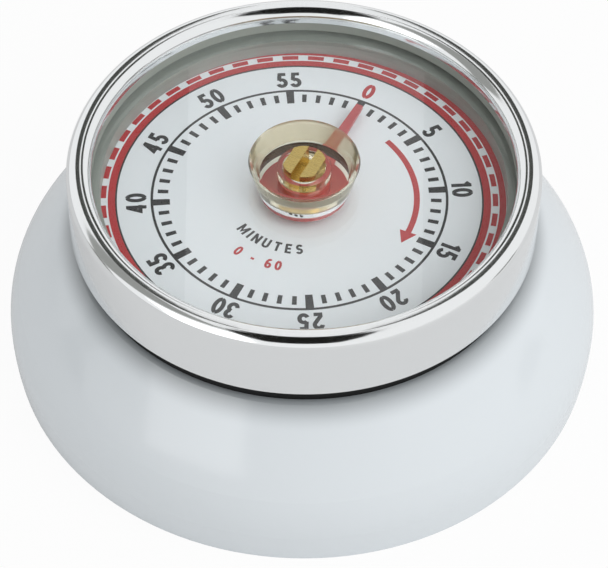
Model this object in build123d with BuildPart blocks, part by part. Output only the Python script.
"""Wind-up sixty minute kitchen timer: white dome body, chrome bezel, clockwork movement and bell."""

import os
from math import asin, atan2, cos, degrees, dist, radians, sin

from build123d import *

os.makedirs("parts", exist_ok=True)

# Lengths are in millimetres and angles in degrees. The foot stands on z = 0, the 0 mark faces +Y.

# Body shell
body_diameter = 70.0
foot_inset = 0.3
widest_height = 4.2
shoulder_radius = 10.5
shoulder_turn = 28.5
neck_edge_radius = 1.0
shell_wall = 0.8
neck_lip = 1.95

# Bezel and the dark band below it
band_height = 2.0
band_inset = 0.85
bezel_overhang = 0.5
bezel_height = 8.6
bezel_wall = 0.6
bead_radius = 1.3
bead_flat = 0.25
hem_height = 0.55

# Window, spacer and dial
window_depth = 3.15
window_thickness = 1.5
dial_gap = 2.15
dial_thickness = 0.5
dial_hole_diameter = 7.0
spacer_wall = 1.85
window_ring_wall = 0.9

# Inner case
rim_wall = 1.15
rim_rise = 0.5
cup_wall = 1.2
floor_thickness = 1.4
floor_hole_diameter = 8.0
screw_room = 1.0

# Clearances
shell_clearance = 0.3
seat_clearance = 0.05
run_clearance = 0.05
press_clearance = 0.02
sweep_clearance = 0.3

# Knob, hand and shaft
knob_diameter = 13.0
knob_foot_diameter = 11.4
knob_height = 3.1
knob_edge_radius = 0.45
knob_lift = 0.15
hand_thickness = 0.5
hand_height = 0.8
hand_length = 15.0
hand_tip_width = 0.85
hand_waist_width = 1.3
hand_waist_reach = 8.6
hand_flare_width = 3.6
sleeve_diameter = 6.0
flange_diameter = 10.2
flange_thickness = 0.5
flange_drop = 2.0
shaft_diameter = 4.9
shaft_flats = 4.0
shaft_end_depth = 0.4
slot_width = 1.1
slot_depth = 2.2

# Back cover and magnet
cover_recess = 0.9
cover_thickness = 1.2
pad_diameter = 6.0
pad_height = 1.3
nut_clearance = 0.2
magnet_diameter = 20.0
magnet_thickness = 1.8
magnet_plate_thickness = 0.5
magnet_recess = 0.1
pocket_wall = 1.0
pocket_roof = 0.8
back_screw_count = 3
back_screw_angle = 21.5
back_screw_diameter = 2.2
back_screw_head_diameter = 4.0
back_screw_head_height = 1.1
back_screw_length = 8.0
post_diameter = 4.8
post_embed = 0.3
plate_clearance = 0.6

# Movement plates, pillars and screws
plate_diameter = 36.0
plate_thickness = 1.0
movement_depth = 8.0
pillar_inset = 1.8
pillar_angles = (118.0, 210.0, 300.0)
pillar_diameter = 2.6
pillar_stub_diameter = 1.6
nut_flats = 3.2
nut_thickness = 1.2
movement_screw_count = 3
movement_screw_inset = 4.5
movement_screw_angle = 20.0
movement_screw_diameter = 1.6
movement_screw_head_diameter = 3.2
movement_screw_head_height = 0.8

# Wheels: levels are measured up from the rear plate
pivot_diameter = 0.8
end_play = 0.1
second_arbor_diameter = 1.6
train_arbor_diameter = 1.2
cam_level = 0.5
spring_level = 1.6
ratchet_level = 4.8
great_level = 5.7
second_level = 7.1
escape_level = 2.7
balance_level = 4.0
wheel_thickness = 0.6
great_thickness = 0.7
second_thickness = 0.5
pinion_overlap = 0.25
great_teeth = 60
great_pitch_diameter = 18.0
second_pinion_leaves = 10
second_teeth = 48
second_pitch_diameter = 13.44
third_pinion_leaves = 8
third_teeth = 48
third_pitch_diameter = 12.0
escape_pinion_leaves = 8
escape_teeth = 20
escape_diameter = 6.8
escape_tooth_depth = 0.9
second_bearing = 0.0
third_bearing = 105.5
escape_bearing = 134.7
anchor_bearing = 172.7
wheel_tooth_share = 0.46
pinion_leaf_share = 0.36
tooth_tip_share = 0.4
wheel_addendum = 0.95
pinion_addendum = 0.6
dedendum = 1.25
spoke_holes = 5
spoke_hole_share = 0.8
wheel_rim_modules = 2.0
escape_slope_share = 0.55
anchor_drop = 1.36
pallet_spread = 50.0
pallet_width = 0.5
balance_rim = 1.0

# Spring, ratchet and click
arbor_diameter = 4.2
main_pivot_diameter = 2.4
spring_height = 2.9
spring_thickness = 0.25
spring_pitch = 1.1
spring_half_turns = 11
spring_samples = 18
spring_post_diameter = 1.4
ratchet_teeth = 16
ratchet_diameter = 10.0
ratchet_tooth_depth = 0.7
ratchet_slope_share = 1.0
click_angle = 60.0
click_reach = 40.0
click_pivot_radius = 7.6
click_width = 1.0
click_stud_diameter = 1.0
click_spring_thickness = 0.25

# Stop, strike and bell
stop_radius = 8.1
stop_pin_diameter = 0.5
stop_angle = 200.0
stop_overlap = 0.4
stop_clearance = 0.03
cam_diameter = 8.8
cam_notch_depth = 1.5
cam_notch_width = 4.0
lever_angle = 210.0
lever_length = 9.5
lever_width = 1.2
hammer_arbor_diameter = 1.6
hammer_arm_drop = 0.4
hammer_arm_thickness = 0.6
hammer_head_diameter = 2.6
hammer_head_height = 1.8
strike_gap = 1.3
hammer_head_angle = 318.0
hammer_spring_thickness = 0.3
hammer_spring_post_diameter = 1.4
hammer_spring_length = 7.2
hammer_spring_turn = 30.0
bell_diameter = 35.0
bell_flat_diameter = 24.0
bell_depth = 3.2
bell_wall = 0.6
bell_drop = 4.2
bell_post_diameter = 4.4
bell_post_spigot_diameter = 3.8
bell_stud_diameter = 2.4
bell_nut_flats = 4.5
bell_nut_thickness = 1.0

# Heights worked out from the foot upwards
cover_top = cover_recess + cover_thickness
pad_top = cover_top + pad_height
magnet_top = magnet_recess + magnet_thickness
pocket_top = magnet_top + magnet_plate_thickness
bell_crown_bottom = pocket_top + pocket_roof + nut_clearance + bell_nut_thickness
bell_crown_top = bell_crown_bottom + bell_wall
bell_rim = bell_crown_bottom + bell_depth
rear_plate_bottom = bell_crown_top + bell_drop
rear_plate_top = rear_plate_bottom + plate_thickness
front_plate_bottom = rear_plate_top + movement_depth
floor_bottom = front_plate_bottom + plate_thickness
floor_top = floor_bottom + floor_thickness
dial_bottom = floor_top + screw_room
dial_top = dial_bottom + dial_thickness
window_bottom = dial_top + dial_gap
window_top = window_bottom + window_thickness
bezel_top = window_top + window_depth
bezel_bottom = bezel_top - bezel_height
neck_height = bezel_bottom - band_height
bead_low = bezel_top - bead_radius
lip_end = bead_low - hem_height
hand_bottom = dial_top + hand_height
knob_bottom = window_top + knob_lift
knob_top = knob_bottom + knob_height
sleeve_top = knob_bottom - seat_clearance
flange_top = sleeve_top - flange_drop
shaft_top = knob_top - shaft_end_depth

# Radii worked out from the movement plates outwards
cup_inner = plate_diameter / 2 + plate_clearance + post_diameter - post_embed
cup_outer = cup_inner + cup_wall
back_screw_circle = cup_inner + post_embed - post_diameter / 2
pillar_circle = plate_diameter / 2 - pillar_inset
movement_screw_circle = plate_diameter / 2 - movement_screw_inset
case_hole_radius = cup_outer + shell_clearance
neck_radius = case_hole_radius + neck_lip
bezel_radius = neck_radius + bezel_overhang
band_radius = bezel_radius - band_inset
lip_radius = bezel_radius - 2 * bead_radius - bead_flat
rim_outer = bezel_radius - bezel_wall - seat_clearance
rim_inner = rim_outer - rim_wall
inset_radius = rim_inner - seat_clearance
spacer_inner = inset_radius - spacer_wall
window_ring_inner = inset_radius - window_ring_wall
shaft_radius = shaft_diameter / 2
arbor_radius = arbor_diameter / 2
flange_radius = flange_diameter / 2
foot_radius = body_diameter / 2 - foot_inset
cover_radius = foot_radius - shell_wall - shell_clearance
magnet_radius = magnet_diameter / 2
pocket_inner = magnet_radius + seat_clearance
back_screw_radius = back_screw_diameter / 2
pivot_hole_radius = pivot_diameter / 2 + run_clearance
stub_hole_radius = pillar_stub_diameter / 2 + press_clearance
great_module = great_pitch_diameter / great_teeth
second_module = second_pitch_diameter / second_teeth
third_module = third_pitch_diameter / third_teeth
base_align = (Align.CENTER, Align.CENTER, Align.MIN)


def polar(radius, angle):
    """Point at a radius and an angle about the timer's axis."""
    return (radius * cos(radians(angle)), radius * sin(radians(angle)))


def beyond(point, distance, angle):
    """Point a distance away from another, in the direction of an angle."""
    step = polar(distance, angle)
    return (point[0] + step[0], point[1] + step[1])


def heading(start, end):
    """Direction from one point to another."""
    return degrees(atan2(end[1] - start[1], end[0] - start[0]))


def centre_distance(wheel_teeth, pinion_leaves, module):
    """Distance between the axes of a wheel and the pinion that it turns."""
    return module * (wheel_teeth + pinion_leaves) / 2


def toothed_outline(teeth, module, share, addendum, first_tooth):
    """Outline of a wheel or pinion about the origin, with one tooth centred on first_tooth."""
    pitch_radius = module * teeth / 2
    half_tooth = 180 / teeth * share
    flank = (
        (pitch_radius - dedendum * module, half_tooth),
        (pitch_radius, half_tooth),
        (pitch_radius + addendum * module, half_tooth * tooth_tip_share),
    )
    points = []
    for tooth in range(teeth):
        middle = first_tooth + 360 * tooth / teeth
        points += [polar(radius, middle - half) for radius, half in flank]
        points += [polar(radius, middle + half) for radius, half in reversed(flank)]
    return points


def saw_outline(teeth, radius, depth, slope_share, first_tooth):
    """Outline of a wheel with one-way teeth about the origin: a steep face, then a long slope."""
    step = 360 / teeth
    points = []
    for tooth in range(teeth):
        face = first_tooth + step * tooth
        points.append(polar(radius - depth, face - step * slope_share))
        points.append(polar(radius, face))
        points.append(polar(radius - depth, face))
    return points


def bar(start, end, width):
    """Adds a round-ended bar between two points to the sketch being drawn."""
    middle = ((start[0] + end[0]) / 2, (start[1] + end[1]) / 2)
    with Locations(middle):
        SlotCenterToCenter(dist(start, end), width, rotation=heading(start, end))


def rod(centre, bottom, top, diameter, mode=Mode.ADD):
    """Adds an upright round rod to the part being built, or cuts its hole."""
    with Locations((centre[0], centre[1], bottom)):
        Cylinder(diameter / 2, top - bottom, align=base_align, mode=mode)


def arbor(centre, diameter):
    """Adds an arbor with a thin pivot at each end, from plate to plate."""
    rod(centre, rear_plate_bottom, front_plate_bottom + plate_thickness, pivot_diameter)
    rod(centre, rear_plate_top + end_play, front_plate_bottom - end_play, diameter)


# Axes of the wheel train, each reached from the one before
main_axis = (0.0, 0.0)
second_axis = beyond(
    main_axis, centre_distance(great_teeth, second_pinion_leaves, great_module), second_bearing
)
third_axis = beyond(
    second_axis, centre_distance(second_teeth, third_pinion_leaves, second_module), third_bearing
)
escape_axis = beyond(
    third_axis, centre_distance(third_teeth, escape_pinion_leaves, third_module), escape_bearing
)
escape_radius = escape_diameter / 2
anchor_distance = escape_radius + anchor_drop
anchor_axis = beyond(escape_axis, anchor_distance, anchor_bearing)

# Hammer lever: its tip waits just clear of the cam, square to the cam's radius
lever_tip_radius = cam_diameter / 2 + sweep_clearance + lever_width / 2
lever_tip = polar(lever_tip_radius, lever_angle)
hammer_axis = beyond(lever_tip, lever_length, lever_angle + 90)
hammer_head_radius = bell_diameter / 2 - bell_wall - hammer_head_diameter / 2 - strike_gap
hammer_head = polar(hammer_head_radius, hammer_head_angle)
train_axes = (second_axis, third_axis, escape_axis, anchor_axis)
pillar_points = [polar(pillar_circle, angle) for angle in pillar_angles]

# Mainspring: half circles that grow by half a pitch each, then an eye round the post
spring_start = arbor_radius + seat_clearance + spring_thickness / 2
spring_outer = spring_start + spring_pitch * (spring_half_turns - 1) / 2
spring_eye = spring_post_diameter / 2 + seat_clearance
spring_post = (-spring_outer - spring_thickness / 2 - spring_eye, 0)
spring_line = []
for half in range(spring_half_turns):
    middle = (spring_pitch / 2 if half % 2 else 0, 0)
    radius = spring_start + spring_pitch * half / 2
    for sample in range(spring_samples):
        spring_line.append(beyond(middle, radius, 180 * (half % 2 + sample / spring_samples)))
next_turn = spring_samples + spring_samples // 2
spring_gap = min(dist(a, b) for place, a in enumerate(spring_line) for b in spring_line[place + next_turn:])
print("mainspring least gap between turns", round(spring_gap - spring_thickness, 3), "mm")

# Body shell: skirt, rounded shoulder and gently curved flank up to a turned-in edge
with BuildPart() as body_shell:
    with BuildSketch(Plane.XZ):
        with BuildLine():
            widest = (body_diameter / 2, widest_height)
            skirt = TangentArc(widest, (foot_radius, 0), tangent=(0, -1))
            shoulder = JernArc(widest, (0, 1), shoulder_radius, shoulder_turn)
            flank = TangentArc(shoulder @ 1, (neck_radius, neck_height), tangent=shoulder % 1)
            Polyline(flank @ 1, (0, neck_height), (0, 0), skirt @ 1)
        make_face()
    revolve(axis=Axis.Z)
    offset(amount=-shell_wall, openings=body_shell.faces().sort_by(Axis.Z)[0])
    with BuildSketch(Plane.XY.offset(neck_height)):
        Circle(case_hole_radius)
    extrude(amount=-2 * shell_wall, mode=Mode.SUBTRACT)
    neck_edge = body_shell.edges().filter_by(GeomType.CIRCLE).group_by(Axis.Z)[-1].sort_by(SortBy.LENGTH)[-1]
    fillet(neck_edge, neck_edge_radius)
body_shell.part.label = "body_shell"
export_step(body_shell.part, "parts/body_shell.step")

# Inner case: black cup with a floor, the visible band and the rim that carries the bezel
with BuildPart() as inner_case:
    with BuildSketch(Plane.XZ):
        with BuildLine():
            Polyline(
                (cup_inner, pad_top),
                (cup_inner, floor_bottom),
                (floor_hole_diameter / 2, floor_bottom),
                (floor_hole_diameter / 2, floor_top),
                (cup_inner, floor_top),
                (cup_inner, dial_bottom),
                (rim_inner, dial_bottom),
                (rim_inner, window_top + rim_rise),
                (rim_outer, window_top + rim_rise),
                (rim_outer, bezel_bottom),
                (band_radius, bezel_bottom),
                (band_radius, neck_height),
                (cup_outer, neck_height),
                (cup_outer, pad_top),
                close=True,
            )
        make_face()
    revolve(axis=Axis.Z)
    with BuildSketch(Plane.XY.offset(pad_top)):
        with PolarLocations(back_screw_circle, back_screw_count, back_screw_angle):
            Circle(post_diameter / 2)
    extrude(amount=floor_bottom - pad_top)
    with BuildSketch(Plane.XY.offset(pad_top)):
        with PolarLocations(back_screw_circle, back_screw_count, back_screw_angle):
            Circle(back_screw_radius + press_clearance)
    extrude(amount=back_screw_length, mode=Mode.SUBTRACT)
    with BuildSketch(Plane.XY.offset(floor_bottom)):
        with PolarLocations(movement_screw_circle, movement_screw_count, movement_screw_angle):
            Circle(movement_screw_diameter / 2 + press_clearance)
    extrude(amount=floor_thickness, mode=Mode.SUBTRACT)
inner_case.part.label = "inner_case"
export_step(inner_case.part, "parts/inner_case.step")

# Bezel: folded sheet ring, outer wall, round bead over the top and a short hem inside
outer_bead_centre = (bezel_radius - bead_radius, bead_low)
lip_bead_centre = (lip_radius + bead_radius, bead_low)
inner_bead = bead_radius - bezel_wall
with BuildPart() as bezel:
    with BuildSketch(Plane.XZ):
        with BuildLine():
            outer_bead = CenterArc(outer_bead_centre, bead_radius, 0, 90)
            lip_bead = CenterArc(lip_bead_centre, bead_radius, 90, 90)
            under_outer = CenterArc(outer_bead_centre, inner_bead, 0, 90)
            under_lip = CenterArc(lip_bead_centre, inner_bead, 90, 90)
            Line(outer_bead @ 1, lip_bead @ 0)
            Polyline(lip_bead @ 1, (lip_radius, lip_end), (lip_radius + bezel_wall, lip_end), under_lip @ 1)
            Line(under_lip @ 0, under_outer @ 1)
            Polyline(
                under_outer @ 0,
                (bezel_radius - bezel_wall, bezel_bottom),
                (bezel_radius, bezel_bottom),
                outer_bead @ 0,
            )
        make_face()
    revolve(axis=Axis.Z)
bezel.part.label = "bezel"
export_step(bezel.part, "parts/bezel.step")

# Window: clear disc with a hole that lets the hand's flange through
with BuildPart() as window:
    with BuildSketch(Plane.XY.offset(window_bottom)):
        Circle(inset_radius)
        Circle(flange_radius + sweep_clearance, mode=Mode.SUBTRACT)
    extrude(amount=window_thickness)
window.part.label = "window"
export_step(window.part, "parts/window.step")

# Spacer ring: keeps the window off the dial
with BuildPart() as spacer_ring:
    with BuildSketch(Plane.XY.offset(dial_top)):
        Circle(inset_radius)
        Circle(spacer_inner, mode=Mode.SUBTRACT)
    extrude(amount=dial_gap - seat_clearance)
spacer_ring.part.label = "spacer_ring"
export_step(spacer_ring.part, "parts/spacer_ring.step")

# Window ring: fills the step between the window and the bezel's hem
with BuildPart() as window_ring:
    with BuildSketch(Plane.XY.offset(window_top)):
        Circle(inset_radius)
        Circle(window_ring_inner, mode=Mode.SUBTRACT)
    extrude(amount=lip_end - window_top)
window_ring.part.label = "window_ring"
export_step(window_ring.part, "parts/window_ring.step")

# Dial plate
with BuildPart() as dial:
    with BuildSketch(Plane.XY.offset(dial_bottom)):
        Circle(inset_radius)
        Circle(dial_hole_diameter / 2, mode=Mode.SUBTRACT)
    extrude(amount=dial_thickness)
dial.part.label = "dial"
export_step(dial.part, "parts/dial.step")

# Back cover: recessed panel with screw pads and a pocket for the magnet
with BuildPart() as back_cover:
    with BuildSketch(Plane.XY.offset(cover_recess)):
        Circle(cover_radius)
    extrude(amount=cover_thickness)
    with BuildSketch(Plane.XY.offset(cover_top)):
        with PolarLocations(back_screw_circle, back_screw_count, back_screw_angle):
            Circle(pad_diameter / 2)
    extrude(amount=pad_height)
    pocket_outer_diameter = 2 * (pocket_inner + pocket_wall)
    rod(main_axis, magnet_recess + sweep_clearance, pocket_top + pocket_roof, pocket_outer_diameter)
    rod(main_axis, 0, pocket_top, 2 * pocket_inner, Mode.SUBTRACT)
    with BuildSketch(Plane.XY.offset(cover_recess)):
        with PolarLocations(back_screw_circle, back_screw_count, back_screw_angle):
            Circle(back_screw_head_diameter / 2 + sweep_clearance)
    extrude(amount=back_screw_head_height, mode=Mode.SUBTRACT)
    with BuildSketch(Plane.XY.offset(cover_recess)):
        with PolarLocations(back_screw_circle, back_screw_count, back_screw_angle):
            Circle(back_screw_radius + press_clearance)
    extrude(amount=pad_top - cover_recess, mode=Mode.SUBTRACT)
back_cover.part.label = "back_cover"
export_step(back_cover.part, "parts/back_cover.step")

# Back screws: pan heads sunk in the cover, shanks in the case posts
with BuildPart() as back_screws:
    for place in PolarLocations(back_screw_circle, back_screw_count, back_screw_angle).locations:
        centre = (place.position.X, place.position.Y)
        head_top = cover_recess + back_screw_head_height
        rod(centre, cover_recess, head_top, back_screw_head_diameter)
        rod(centre, cover_recess, pad_top + back_screw_length, back_screw_diameter)
back_screws.part.label = "back_screws"
export_step(back_screws.part, "parts/back_screws.step")

# Magnet and the steel plate behind it
with BuildPart() as magnet:
    rod(main_axis, magnet_recess, magnet_top, magnet_diameter)
magnet.part.label = "magnet"
export_step(magnet.part, "parts/magnet.step")

with BuildPart() as magnet_plate:
    rod(main_axis, magnet_top, pocket_top, magnet_diameter)
magnet_plate.part.label = "magnet_plate"
export_step(magnet_plate.part, "parts/magnet_plate.step")

# Stop stud and stop pin: two thin pins that meet at either end of the hand's travel
stop_gap = stop_pin_diameter + stop_clearance
stop_half_angle = degrees(2 * asin(stop_gap / (2 * stop_radius)))
stop_stud_place = polar(stop_radius, stop_angle)
stop_pin_place = polar(stop_radius, stop_angle - stop_half_angle)
great_top = rear_plate_top + great_level + great_thickness
stop_pin_top = great_top + stop_overlap + sweep_clearance / 2
print("hand travel", round(360 - 2 * stop_half_angle, 2), "degrees")

# Front plate: carries the main shaft, the arbors and the stop stud
with BuildPart() as front_plate:
    rod(main_axis, front_plate_bottom, floor_bottom, plate_diameter)
    rod(main_axis, front_plate_bottom, floor_bottom, shaft_diameter + 2 * run_clearance, Mode.SUBTRACT)
    for centre in train_axes + (hammer_axis,):
        rod(centre, front_plate_bottom, floor_bottom, 2 * pivot_hole_radius, Mode.SUBTRACT)
    for centre in pillar_points:
        rod(centre, front_plate_bottom, floor_bottom, 2 * stub_hole_radius, Mode.SUBTRACT)
    for place in PolarLocations(
        movement_screw_circle, movement_screw_count, movement_screw_angle
    ).locations:
        centre = (place.position.X, place.position.Y)
        thread = movement_screw_diameter + 2 * press_clearance
        rod(centre, front_plate_bottom, floor_bottom, thread, Mode.SUBTRACT)
    stud_hole = stop_pin_diameter + 2 * press_clearance
    rod(stop_stud_place, front_plate_bottom, floor_bottom, stud_hole, Mode.SUBTRACT)
front_plate.part.label = "front_plate"
export_step(front_plate.part, "parts/front_plate.step")

with BuildPart() as stop_stud:
    rod(stop_stud_place, stop_pin_top - stop_overlap, floor_bottom, stop_pin_diameter)
stop_stud.part.label = "stop_stud"
export_step(stop_stud.part, "parts/stop_stud.step")

# Rear plate: carries the rear pivots, the bell post and the spring posts
lever_middle = (
    (hammer_axis[0] + lever_tip[0]) / 2,
    (hammer_axis[1] + lever_tip[1]) / 2,
)
blade_offset = lever_width / 2 + sweep_clearance + hammer_spring_thickness / 2
blade_tip = beyond(lever_middle, blade_offset, lever_angle)
blade_root = beyond(blade_tip, hammer_spring_length, lever_angle - hammer_spring_turn)
with BuildPart() as rear_plate:
    rod(main_axis, rear_plate_bottom, rear_plate_top, plate_diameter)
    post_hole = bell_post_spigot_diameter + 2 * press_clearance
    rod(main_axis, rear_plate_bottom, rear_plate_top, post_hole, Mode.SUBTRACT)
    for centre in train_axes:
        rod(centre, rear_plate_bottom, rear_plate_top, 2 * pivot_hole_radius, Mode.SUBTRACT)
    arbor_hole = hammer_arbor_diameter + 2 * run_clearance
    rod(hammer_axis, rear_plate_bottom, rear_plate_top, arbor_hole, Mode.SUBTRACT)
    for centre in pillar_points:
        rod(centre, rear_plate_bottom, rear_plate_top, 2 * stub_hole_radius, Mode.SUBTRACT)
    spring_hole = spring_post_diameter + 2 * press_clearance
    rod(spring_post, rear_plate_bottom, rear_plate_top, spring_hole, Mode.SUBTRACT)
    blade_hole = hammer_spring_post_diameter + 2 * press_clearance
    rod(blade_root, rear_plate_bottom, rear_plate_top, blade_hole, Mode.SUBTRACT)
rear_plate.part.label = "rear_plate"
export_step(rear_plate.part, "parts/rear_plate.step")

# Pillars between the plates, with stubs through both, and the nuts behind the rear plate
with BuildPart() as pillars:
    for centre in pillar_points:
        rod(centre, rear_plate_top, front_plate_bottom, pillar_diameter)
        rod(centre, rear_plate_bottom - nut_thickness, floor_bottom, pillar_stub_diameter)
pillars.part.label = "pillars"
export_step(pillars.part, "parts/pillars.step")

with BuildPart() as pillar_nuts:
    with BuildSketch(Plane.XY.offset(rear_plate_bottom)):
        with Locations(*pillar_points):
            RegularPolygon(nut_flats / 2, 6, major_radius=False)
            Circle(stub_hole_radius, mode=Mode.SUBTRACT)
    extrude(amount=-nut_thickness)
pillar_nuts.part.label = "pillar_nuts"
export_step(pillar_nuts.part, "parts/pillar_nuts.step")

# Movement screws: from above through the case floor into the front plate
with BuildPart() as movement_screws:
    for place in PolarLocations(
        movement_screw_circle, movement_screw_count, movement_screw_angle
    ).locations:
        centre = (place.position.X, place.position.Y)
        rod(centre, front_plate_bottom, floor_top, movement_screw_diameter)
        rod(centre, floor_top, floor_top + movement_screw_head_height, movement_screw_head_diameter)
movement_screws.part.label = "movement_screws"
export_step(movement_screws.part, "parts/movement_screws.step")

# Bell post: its top is the main shaft's rear bearing, its foot holds the bell
pivot_bottom = rear_plate_bottom - run_clearance
with BuildPart() as bell_post:
    rod(main_axis, bell_crown_top, rear_plate_bottom, bell_post_diameter)
    rod(main_axis, rear_plate_bottom, rear_plate_top, bell_post_spigot_diameter)
    rod(main_axis, bell_crown_bottom - bell_nut_thickness, bell_crown_top, bell_stud_diameter)
    bearing = main_pivot_diameter + 2 * run_clearance
    rod(main_axis, pivot_bottom - end_play, rear_plate_top, bearing, Mode.SUBTRACT)
bell_post.part.label = "bell_post"
export_step(bell_post.part, "parts/bell_post.step")

# Bell: shallow spun dish that opens towards the movement
with BuildPart() as bell:
    with BuildSketch(Plane.XZ):
        with BuildLine():
            bell_bore = bell_stud_diameter / 2 + press_clearance
            flat = bell_flat_diameter / 2
            outer_bowl = TangentArc(
                (flat, bell_crown_bottom), (bell_diameter / 2, bell_rim), tangent=(1, 0)
            )
            inner_bowl = TangentArc(
                (flat, bell_crown_top), (bell_diameter / 2 - bell_wall, bell_rim), tangent=(1, 0)
            )
            Line(outer_bowl @ 1, inner_bowl @ 1)
            Polyline(
                inner_bowl @ 0, (bell_bore, bell_crown_top), (bell_bore, bell_crown_bottom), outer_bowl @ 0
            )
        make_face()
    revolve(axis=Axis.Z)
bell.part.label = "bell"
export_step(bell.part, "parts/bell.step")

with BuildPart() as bell_nut:
    with BuildSketch(Plane.XY.offset(bell_crown_bottom)):
        RegularPolygon(bell_nut_flats / 2, 6, major_radius=False)
        Circle(bell_stud_diameter / 2 + press_clearance, mode=Mode.SUBTRACT)
    extrude(amount=-bell_nut_thickness)
bell_nut.part.label = "bell_nut"
export_step(bell_nut.part, "parts/bell_nut.step")

# Main shaft: rear pivot, arbor for the wheels, stout upper part with flats and a slotted end
arbor_top = rear_plate_top + great_level + great_thickness + end_play
with BuildPart() as main_shaft:
    rod(main_axis, pivot_bottom, rear_plate_top + end_play, main_pivot_diameter)
    rod(main_axis, rear_plate_top + end_play, arbor_top, arbor_diameter)
    rod(main_axis, arbor_top, hand_bottom, shaft_diameter)
    with BuildSketch(Plane.XY.offset(hand_bottom)):
        Circle(shaft_radius)
        Rectangle(shaft_flats, shaft_diameter, mode=Mode.INTERSECT)
    extrude(amount=shaft_top - hand_bottom)
    with BuildSketch(Plane.XY.offset(shaft_top)):
        Rectangle(slot_width, 2 * shaft_diameter)
    extrude(amount=-slot_depth, mode=Mode.SUBTRACT)
main_shaft.part.label = "main_shaft"
export_step(main_shaft.part, "parts/main_shaft.step")

# Hand: flat pointer under a round flange, with a sleeve that rises through the window to the knob
with BuildPart() as hand:
    with BuildSketch(Plane.XY.offset(hand_bottom)):
        Polygon(
            (-hand_flare_width / 2, 0),
            (-hand_flare_width / 2, shaft_radius),
            (-hand_waist_width / 2, hand_waist_reach),
            (-hand_tip_width / 2, hand_length),
            (hand_tip_width / 2, hand_length),
            (hand_waist_width / 2, hand_waist_reach),
            (hand_flare_width / 2, shaft_radius),
            (hand_flare_width / 2, 0),
            align=None,
        )
        Circle(sleeve_diameter / 2)
    extrude(amount=hand_thickness)
    rod(main_axis, hand_bottom, sleeve_top, sleeve_diameter)
    rod(main_axis, flange_top - flange_thickness, flange_top, flange_diameter)
    with BuildSketch(Plane.XY.offset(hand_bottom)):
        Circle(shaft_radius + press_clearance)
        Rectangle(shaft_flats + 2 * press_clearance, 2 * shaft_diameter, mode=Mode.INTERSECT)
    extrude(amount=sleeve_top - hand_bottom, mode=Mode.SUBTRACT)
hand.part.label = "hand"
export_step(hand.part, "parts/hand.step")

# Knob: clear tapered disc with a rounded top edge, on the shaft's flats
with BuildPart() as knob:
    with BuildSketch(Plane.XZ):
        Polygon(
            (0, knob_bottom),
            (knob_foot_diameter / 2, knob_bottom),
            (knob_diameter / 2, knob_top),
            (0, knob_top),
            align=None,
        )
    revolve(axis=Axis.Z)
    fillet(knob.edges().filter_by(GeomType.CIRCLE).sort_by(Axis.Z)[-1], knob_edge_radius)
    with BuildSketch(Plane.XY.offset(knob_bottom)):
        Circle(shaft_radius + press_clearance)
        Rectangle(shaft_flats + 2 * press_clearance, 2 * shaft_diameter, mode=Mode.INTERSECT)
    extrude(amount=knob_height, mode=Mode.SUBTRACT)
knob.part.label = "knob"
export_step(knob.part, "parts/knob.step")

# Mainspring and the post that holds its outer end
with BuildPart() as mainspring:
    with BuildSketch(Plane.XY.offset(rear_plate_top + spring_level)):
        with BuildLine():
            edges_of_strip = []
            for side in (-spring_thickness / 2, spring_thickness / 2):
                for half in range(spring_half_turns):
                    radius = spring_start + spring_pitch * half / 2 + side
                    middle = (spring_pitch / 2 if half % 2 else 0, 0)
                    edges_of_strip.append(CenterArc(middle, radius, 180 * (half % 2), 180))
            last = len(edges_of_strip) - 1
            Line(edges_of_strip[0] @ 0, edges_of_strip[spring_half_turns] @ 0)
            Line(edges_of_strip[spring_half_turns - 1] @ 1, edges_of_strip[last] @ 1)
        make_face()
        with Locations(spring_post):
            Circle(spring_eye + spring_thickness)
            Circle(spring_eye, mode=Mode.SUBTRACT)
    extrude(amount=spring_height)
mainspring.part.label = "mainspring"
export_step(mainspring.part, "parts/mainspring.step")

with BuildPart() as spring_post_part:
    post_top = rear_plate_top + spring_level + spring_height
    rod(spring_post, rear_plate_bottom, post_top, spring_post_diameter)
spring_post_part.part.label = "spring_post"
export_step(spring_post_part.part, "parts/spring_post.step")

# Great wheel: turned by the click, turns the second pinion
great_bottom = rear_plate_top + great_level
click_pivot = polar(click_pivot_radius, click_angle + click_reach)
with BuildPart() as great_wheel:
    with BuildSketch(Plane.XY.offset(great_bottom)):
        Polygon(
            *toothed_outline(great_teeth, great_module, wheel_tooth_share, wheel_addendum, second_bearing),
            align=None,
        )
        Circle(arbor_radius + run_clearance, mode=Mode.SUBTRACT)
        with Locations(click_pivot):
            Circle(click_stud_diameter / 2 + press_clearance, mode=Mode.SUBTRACT)
    extrude(amount=great_thickness)
    rod(stop_pin_place, great_bottom, great_top, stop_pin_diameter + 2 * press_clearance, Mode.SUBTRACT)
great_wheel.part.label = "great_wheel"
export_step(great_wheel.part, "parts/great_wheel.step")

with BuildPart() as stop_pin:
    rod(stop_pin_place, great_bottom, stop_pin_top, stop_pin_diameter)
stop_pin.part.label = "stop_pin"
export_step(stop_pin.part, "parts/stop_pin.step")

# Ratchet wheel on the arbor, and the click that it pushes
ratchet_bottom = rear_plate_top + ratchet_level
ratchet_radius = ratchet_diameter / 2
ratchet_outline = saw_outline(
    ratchet_teeth, ratchet_radius, ratchet_tooth_depth, ratchet_slope_share, click_angle
)
with BuildPart() as ratchet_wheel:
    with BuildSketch(Plane.XY.offset(ratchet_bottom)):
        Polygon(*ratchet_outline, align=None)
        Circle(arbor_radius + press_clearance, mode=Mode.SUBTRACT)
    extrude(amount=wheel_thickness)
ratchet_wheel.part.label = "ratchet_wheel"
export_step(ratchet_wheel.part, "parts/ratchet_wheel.step")

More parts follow.
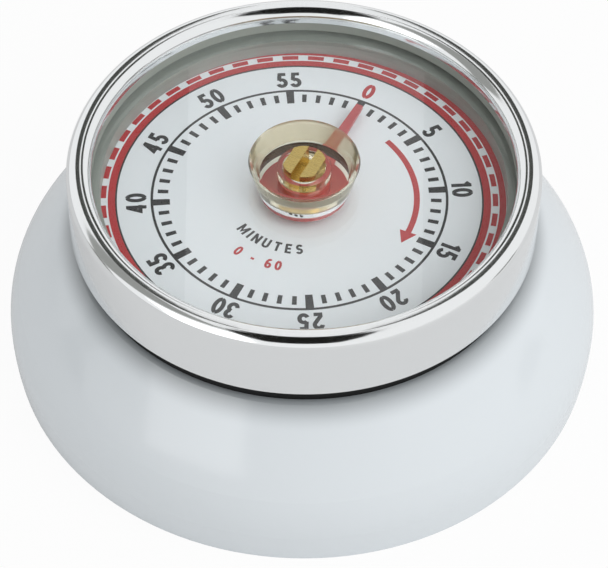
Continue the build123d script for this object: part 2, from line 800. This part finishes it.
nose_radius = ratchet_radius - ratchet_tooth_depth / 2 + click_width / 2
nose_angle = click_angle + degrees((click_width / 2 + run_clearance) / nose_radius)
click_nose = polar(nose_radius, nose_angle)
with BuildPart() as click:
    with BuildSketch(Plane.XY.offset(ratchet_bottom)):
        bar(click_pivot, click_nose, click_width)
        with Locations(click_pivot):
            Circle(click_stud_diameter)
            Circle(click_stud_diameter / 2 + run_clearance, mode=Mode.SUBTRACT)
    extrude(amount=wheel_thickness)
click.part.label = "click"
export_step(click.part, "parts/click.step")

with BuildPart() as click_stud:
    rod(click_pivot, ratchet_bottom - end_play, great_top, click_stud_diameter)
click_stud.part.label = "click_stud"
export_step(click_stud.part, "parts/click_stud.step")

# Click spring: a curved blade from a foot on the great wheel to the click's back
blade_reach = nose_radius + click_width / 2 + sweep_clearance / 2 + click_spring_thickness / 2
with BuildPart() as click_spring:
    with BuildSketch(Plane.XY.offset(ratchet_bottom)):
        with BuildLine():
            ThreePointArc(
                polar(blade_reach, nose_angle),
                polar(blade_reach + click_width / 2, nose_angle - click_reach / 2),
                polar(click_pivot_radius, nose_angle - click_reach),
            )
        trace(line_width=click_spring_thickness)
        with Locations(polar(click_pivot_radius, nose_angle - click_reach)):
            Circle(click_width / 2)
    extrude(amount=wheel_thickness)
    foot = polar(click_pivot_radius, nose_angle - click_reach)
    rod(foot, ratchet_bottom, great_bottom, click_width)
click_spring.part.label = "click_spring"
export_step(click_spring.part, "parts/click_spring.step")

# Strike cam: a disc with one notch that lets the hammer fall as the hand comes to 0
cam_bottom = rear_plate_top + cam_level
with BuildPart() as strike_cam:
    with BuildSketch(Plane.XY.offset(cam_bottom)):
        Circle(cam_diameter / 2)
        Circle(arbor_radius + press_clearance, mode=Mode.SUBTRACT)
        with Locations(polar(cam_diameter / 2, lever_angle)):
            Rectangle(2 * cam_notch_depth, cam_notch_width, rotation=lever_angle, mode=Mode.SUBTRACT)
    extrude(amount=wheel_thickness)
strike_cam.part.label = "strike_cam"
export_step(strike_cam.part, "parts/strike_cam.step")


# Train wheels: flat toothed wheels with lightening holes, pressed on their arbors
def train_wheel(centre, bottom, thickness, teeth, module, bore_diameter, first_tooth):
    """A train wheel about its own axis."""
    pitch_radius = module * teeth / 2
    ring = pitch_radius - (dedendum + wheel_rim_modules) * module
    hole_circle = (ring + bore_diameter) / 2
    with BuildPart() as wheel:
        with BuildSketch(Plane((*centre, bottom))):
            Polygon(
                *toothed_outline(teeth, module, wheel_tooth_share, wheel_addendum, first_tooth),
                align=None,
            )
            Circle(bore_diameter / 2 + press_clearance, mode=Mode.SUBTRACT)
            with PolarLocations(hole_circle, spoke_holes):
                Circle((ring - bore_diameter) / 2 * spoke_hole_share, mode=Mode.SUBTRACT)
        extrude(amount=thickness)
    return wheel.part


def pinion(centre, bottom, top, leaves, module, driver):
    """Adds a pinion to the arbor being built, with a gap facing the wheel that drives it."""
    gap_tooth = heading(centre, driver) + 180 / leaves
    with BuildSketch(Plane((*centre, bottom))) as leaves_sketch:
        Polygon(
            *toothed_outline(leaves, module, pinion_leaf_share, pinion_addendum, gap_tooth),
            align=None,
        )
    extrude(leaves_sketch.sketch, amount=top - bottom)


second_bottom = rear_plate_top + second_level
with BuildPart() as second_arbor:
    arbor(second_axis, second_arbor_diameter)
    pinion(
        second_axis,
        great_bottom - pinion_overlap,
        great_top + pinion_overlap,
        second_pinion_leaves,
        great_module,
        main_axis,
    )
second_arbor.part.label = "second_arbor"
export_step(second_arbor.part, "parts/second_arbor.step")

second_wheel = train_wheel(
    second_axis,
    second_bottom,
    second_thickness,
    second_teeth,
    second_module,
    second_arbor_diameter,
    third_bearing,
)
second_wheel.label = "second_wheel"
export_step(second_wheel, "parts/second_wheel.step")

third_bottom = rear_plate_top + cam_level
with BuildPart() as third_arbor:
    arbor(third_axis, train_arbor_diameter)
    pinion(
        third_axis,
        second_bottom - pinion_overlap,
        second_bottom + second_thickness + pinion_overlap,
        third_pinion_leaves,
        second_module,
        second_axis,
    )
third_arbor.part.label = "third_arbor"
export_step(third_arbor.part, "parts/third_arbor.step")

third_wheel = train_wheel(
    third_axis,
    third_bottom,
    wheel_thickness,
    third_teeth,
    third_module,
    train_arbor_diameter,
    escape_bearing,
)
third_wheel.label = "third_wheel"
export_step(third_wheel, "parts/third_wheel.step")

with BuildPart() as escape_arbor:
    arbor(escape_axis, train_arbor_diameter)
    pinion(
        escape_axis,
        third_bottom - pinion_overlap,
        third_bottom + wheel_thickness + pinion_overlap,
        escape_pinion_leaves,
        third_module,
        third_axis,
    )
escape_arbor.part.label = "escape_arbor"
export_step(escape_arbor.part, "parts/escape_arbor.step")

# Escape wheel: pointed teeth that lean one way
escape_bottom = rear_plate_top + escape_level
with BuildPart() as escape_wheel:
    with BuildSketch(Plane((*escape_axis, escape_bottom))):
        Polygon(
            *saw_outline(escape_teeth, escape_radius, escape_tooth_depth, escape_slope_share, anchor_bearing),
            align=None,
        )
        Circle(train_arbor_diameter / 2 + press_clearance, mode=Mode.SUBTRACT)
    extrude(amount=second_thickness)
escape_wheel.part.label = "escape_wheel"
export_step(escape_wheel.part, "parts/escape_wheel.step")

# Anchor: two arms whose pallets stand either side of the escape wheel
pallet_radius = escape_radius + sweep_clearance + pallet_width / 2
with BuildPart() as anchor_arbor:
    arbor(anchor_axis, train_arbor_diameter)
anchor_arbor.part.label = "anchor_arbor"
export_step(anchor_arbor.part, "parts/anchor_arbor.step")

with BuildPart() as anchor:
    with BuildSketch(Plane.XY.offset(escape_bottom)):
        for spread in (-pallet_spread, pallet_spread):
            pallet = beyond(escape_axis, pallet_radius, anchor_bearing + spread)
            elbow = beyond(pallet, 2 * pallet_width, anchor_bearing + spread)
            bar(anchor_axis, elbow, 2 * pallet_width)
            bar(elbow, pallet, pallet_width)
        with Locations(anchor_axis):
            Circle(train_arbor_diameter)
            Circle(train_arbor_diameter / 2 + press_clearance, mode=Mode.SUBTRACT)
    extrude(amount=second_thickness)
anchor.part.label = "anchor"
export_step(anchor.part, "parts/anchor.step")

# Balance ring: the weight that slows the anchor's swing
balance_radius = anchor_distance - train_arbor_diameter / 2 - 2 * sweep_clearance
with BuildPart() as balance_ring:
    with BuildSketch(Plane((*anchor_axis, rear_plate_top + balance_level))):
        Circle(balance_radius)
        Circle(balance_radius - balance_rim, mode=Mode.SUBTRACT)
        Rectangle(2 * balance_radius - balance_rim, balance_rim)
        Circle(train_arbor_diameter)
        Circle(train_arbor_diameter / 2 + press_clearance, mode=Mode.SUBTRACT)
    extrude(amount=wheel_thickness)
balance_ring.part.label = "balance_ring"
export_step(balance_ring.part, "parts/balance_ring.step")

# Hammer: arbor through the rear plate, lever at the cam, arm and head inside the bell
hammer_arm_top = rear_plate_bottom - hammer_arm_drop
hammer_arm_bottom = hammer_arm_top - hammer_arm_thickness
with BuildPart() as hammer_arbor:
    rod(hammer_axis, front_plate_bottom - end_play, floor_bottom, pivot_diameter)
    rod(hammer_axis, hammer_arm_bottom, front_plate_bottom - end_play, hammer_arbor_diameter)
hammer_arbor.part.label = "hammer_arbor"
export_step(hammer_arbor.part, "parts/hammer_arbor.step")

with BuildPart() as hammer_lever:
    with BuildSketch(Plane.XY.offset(cam_bottom)):
        bar(hammer_axis, lever_tip, lever_width)
        with Locations(hammer_axis):
            Circle(hammer_arbor_diameter)
            Circle(hammer_arbor_diameter / 2 + press_clearance, mode=Mode.SUBTRACT)
    extrude(amount=wheel_thickness)
hammer_lever.part.label = "hammer_lever"
export_step(hammer_lever.part, "parts/hammer_lever.step")

with BuildPart() as hammer:
    with BuildSketch(Plane.XY.offset(hammer_arm_bottom)):
        bar(hammer_axis, hammer_head, lever_width)
        with Locations(hammer_axis):
            Circle(hammer_arbor_diameter)
            Circle(hammer_arbor_diameter / 2 + press_clearance, mode=Mode.SUBTRACT)
    extrude(amount=hammer_arm_thickness)
    rod(hammer_head, hammer_arm_top - hammer_head_height, hammer_arm_top, hammer_head_diameter)
hammer.part.label = "hammer"
export_step(hammer.part, "parts/hammer.step")

# Hammer spring: a straight blade on its own post, behind the lever
with BuildPart() as hammer_spring:
    rod(blade_root, rear_plate_bottom, cam_bottom + wheel_thickness, hammer_spring_post_diameter)
    with BuildSketch(Plane.XY.offset(cam_bottom)):
        bar(blade_root, blade_tip, hammer_spring_thickness)
    extrude(amount=wheel_thickness)
hammer_spring.part.label = "hammer_spring"
export_step(hammer_spring.part, "parts/hammer_spring.step")

print("train ratio", great_teeth * second_teeth * third_teeth
      / (second_pinion_leaves * third_pinion_leaves * escape_pinion_leaves))
print("axes", [tuple(round(value, 3) for value in axis) for axis in train_axes + (hammer_axis, click_pivot)])
